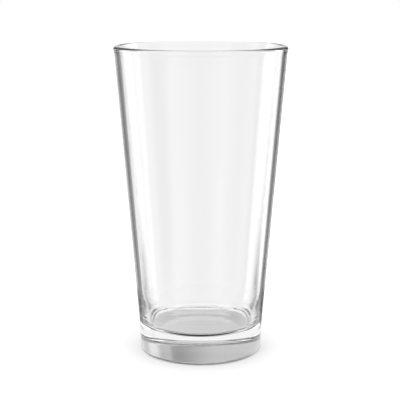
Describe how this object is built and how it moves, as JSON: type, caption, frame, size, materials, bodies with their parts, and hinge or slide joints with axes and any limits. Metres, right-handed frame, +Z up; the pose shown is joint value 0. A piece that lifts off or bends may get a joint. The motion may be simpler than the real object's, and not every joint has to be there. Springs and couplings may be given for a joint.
{
  "type": "mixing glass",
  "caption": "Tapered clear glass tumbler with a thick solid base, a rounded heel and a smooth rim, for stirring, shaking and serving drinks.",
  "frame": {"origin": "centre of the base, in the plane the glass stands on", "axes": "+Z up along the axis of the glass, from the base to the rim"},
  "size_m": [0.0848, 0.0848, 0.152],
  "materials": {
    "clear_glass": "polished, clear and colourless, with faint use marks on the standing ring"
  },
  "bodies": {
    "root": {"glass_body": "clear_glass"}
  },
  "joints": []
}
